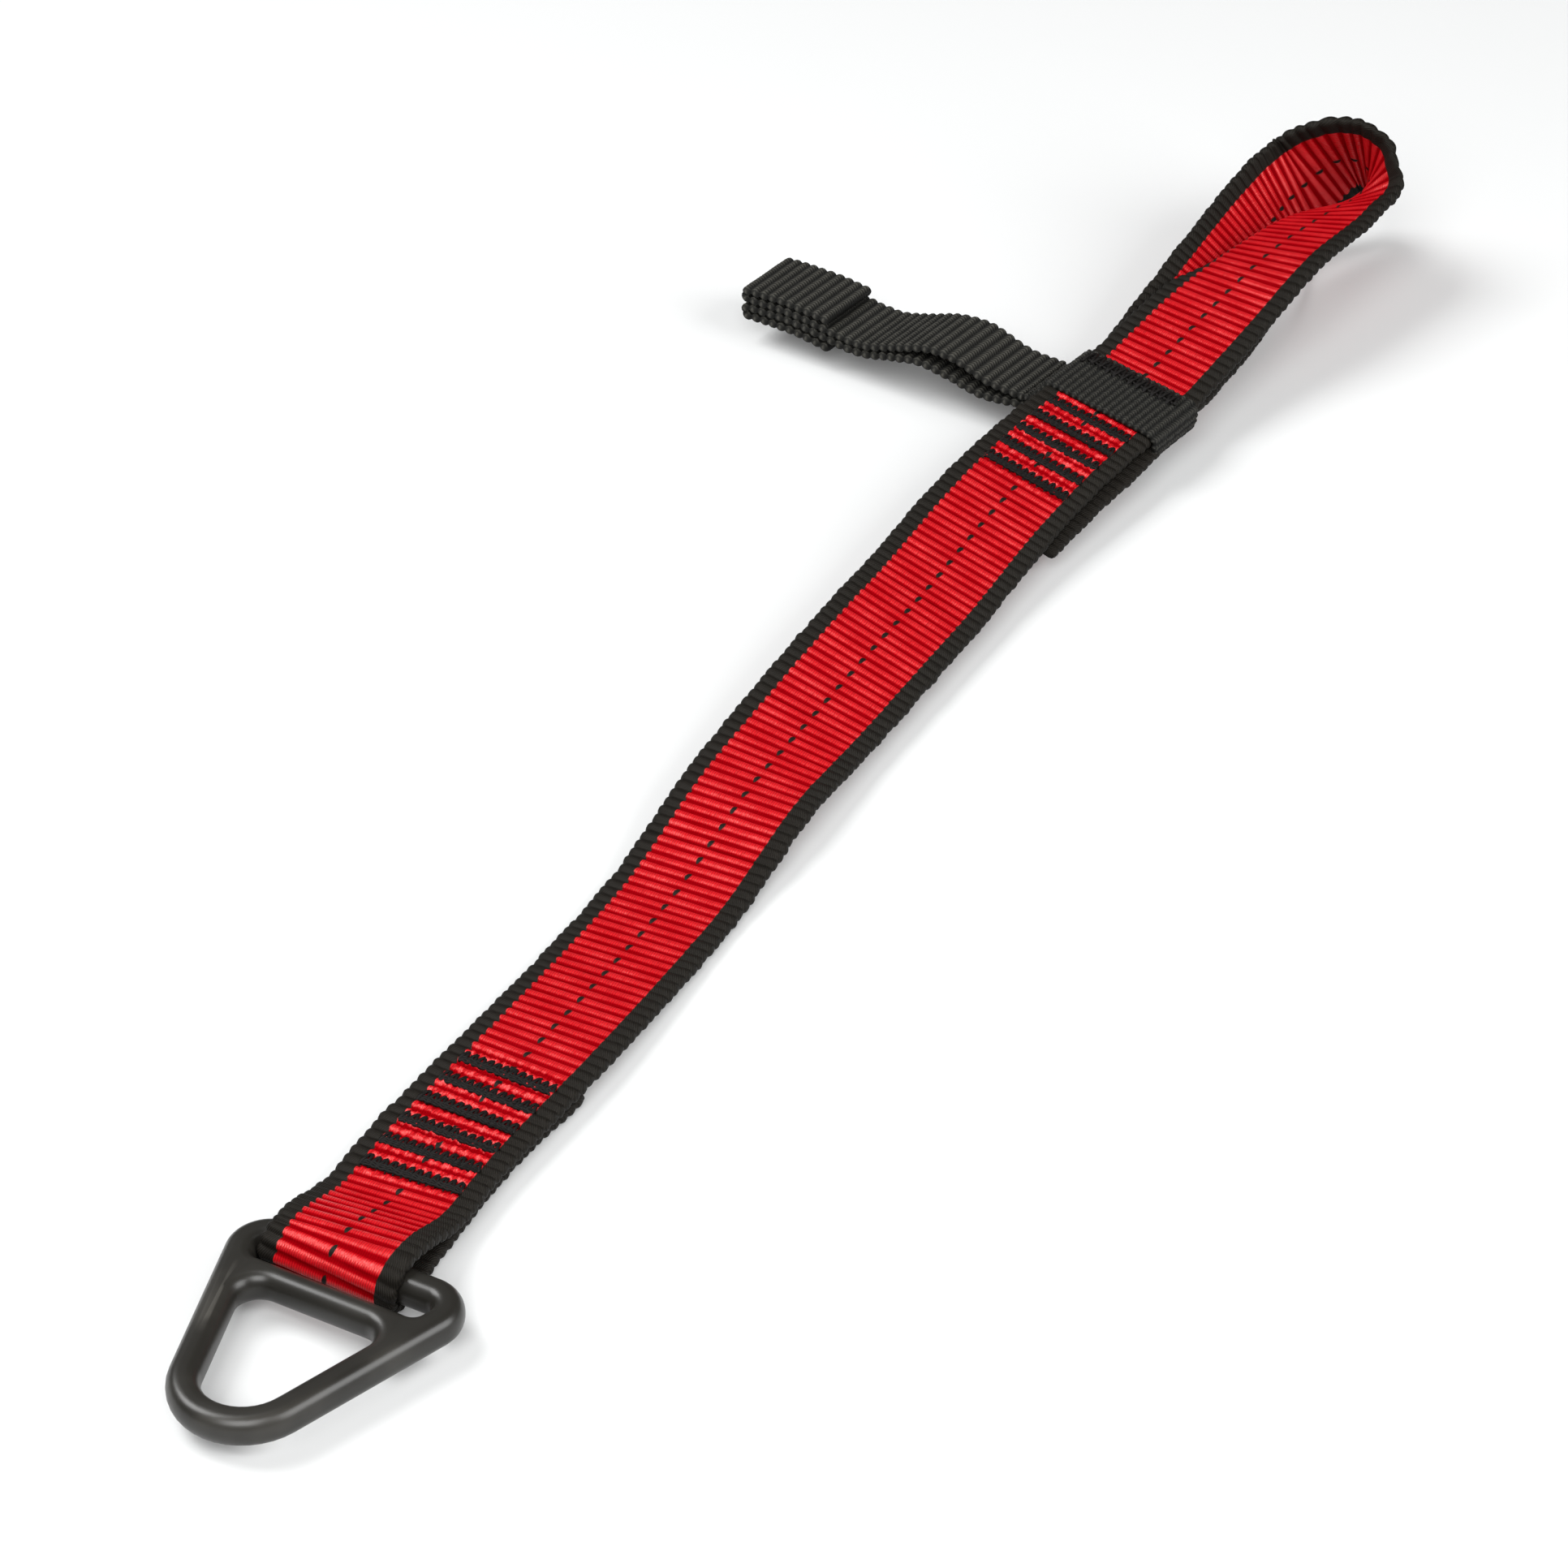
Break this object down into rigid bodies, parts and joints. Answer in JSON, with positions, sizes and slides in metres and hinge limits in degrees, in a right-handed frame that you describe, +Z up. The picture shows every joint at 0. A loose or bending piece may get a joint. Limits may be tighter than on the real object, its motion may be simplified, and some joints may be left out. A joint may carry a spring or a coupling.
{
  "type": "webbing tether",
  "caption": "Short flat webbing tether with a triangular metal ring in a sewn bight, a sewn half-twist eye and a side keeper tape.",
  "frame": {"origin": "the ring's connector seat: on the axis of the apex's inner arc, half way through the ring's thickness", "axes": "+X across the webbing, +Y along it from the ring to the eye, +Z up out of the resting plane"},
  "size_m": [0.1154, 0.4249, 0.034],
  "materials": {
    "ring_metal": "satin dark grey hard coat, lighter on the worn edges",
    "striped_webbing": "ribbed polyamide webbing, red with black selvedges and a dashed black centre yarn",
    "stitching_thread": "thick black bonded thread in zigzag bar tacks",
    "keeper_tape": "coarse ribbed matt black tape"
  },
  "bodies": {
    "ring_end": {"ring_end_webbing": "striped_webbing", "ring_tack_1": "stitching_thread", "ring_tack_2": "stitching_thread", "ring_tack_3": "stitching_thread", "ring_tack_4": "stitching_thread", "ring_tack_5": "stitching_thread", "ring_tack_6": "stitching_thread"},
    "ring": {"ring": "ring_metal"},
    "strap_1": {"strap_length_1": "striped_webbing"},
    "strap_2": {"strap_length_2": "striped_webbing"},
    "strap_3": {"strap_length_3": "striped_webbing"},
    "strap_4": {"strap_length_4": "striped_webbing"},
    "eye_end": {"eye_end_upper": "striped_webbing", "eye_end_under": "striped_webbing", "eye_tack_1": "stitching_thread", "eye_tack_2": "stitching_thread", "eye_tack_3": "stitching_thread", "eye_tack_4": "stitching_thread", "eye_tack_5": "stitching_thread", "keeper_wrap": "keeper_tape", "keeper_tack": "stitching_thread"},
    "eye": {"eye_loop": "striped_webbing"},
    "keeper_tail": {"keeper_tail_upper": "keeper_tape", "keeper_tail_lower": "keeper_tape"}
  },
  "joints": [
    {"name": "ring_pivot", "type": "hinge", "parent": "ring_end", "child": "ring", "pos_m": [0, 0.02925, 0], "axis": [1, 0, 0], "range_deg": [-110, 110]},
    {"name": "strap_bend_1", "type": "hinge", "parent": "ring_end", "child": "strap_1", "pos_m": [0, 0.09225, -0.00158], "axis": [1, 0, 0], "range_deg": [-35, 35], "stiffness_Nm_per_rad": 0.05},
    {"name": "strap_bend_2", "type": "hinge", "parent": "strap_1", "child": "strap_2", "pos_m": [0, 0.13225, -0.00368], "axis": [1, 0, 0], "range_deg": [-35, 35], "stiffness_Nm_per_rad": 0.05},
    {"name": "strap_twist", "type": "hinge", "parent": "strap_2", "child": "strap_3", "pos_m": [0, 0.17225, 0.00093], "axis": [0, 1, 0], "range_deg": [-40, 40], "stiffness_Nm_per_rad": 0.05},
    {"name": "strap_bend_3", "type": "hinge", "parent": "strap_3", "child": "strap_4", "pos_m": [0, 0.21225, 0.00255], "axis": [1, 0, 0], "range_deg": [-35, 35], "stiffness_Nm_per_rad": 0.05},
    {"name": "strap_bend_4", "type": "hinge", "parent": "strap_4", "child": "eye_end", "pos_m": [0, 0.25525, 0.00412], "axis": [1, 0, 0], "range_deg": [-35, 35], "stiffness_Nm_per_rad": 0.05},
    {"name": "eye_bend", "type": "hinge", "parent": "eye_end", "child": "eye", "pos_m": [0, 0.32125, 0.00485], "axis": [1, 0, 0], "range_deg": [-30, 30], "stiffness_Nm_per_rad": 0.05},
    {"name": "keeper_swing", "type": "hinge", "parent": "eye_end", "child": "keeper_tail", "pos_m": [-0.017, 0.31075, 0.00485], "axis": [0, 1, 0], "range_deg": [-50, 50], "stiffness_Nm_per_rad": 0.05}
  ]
}
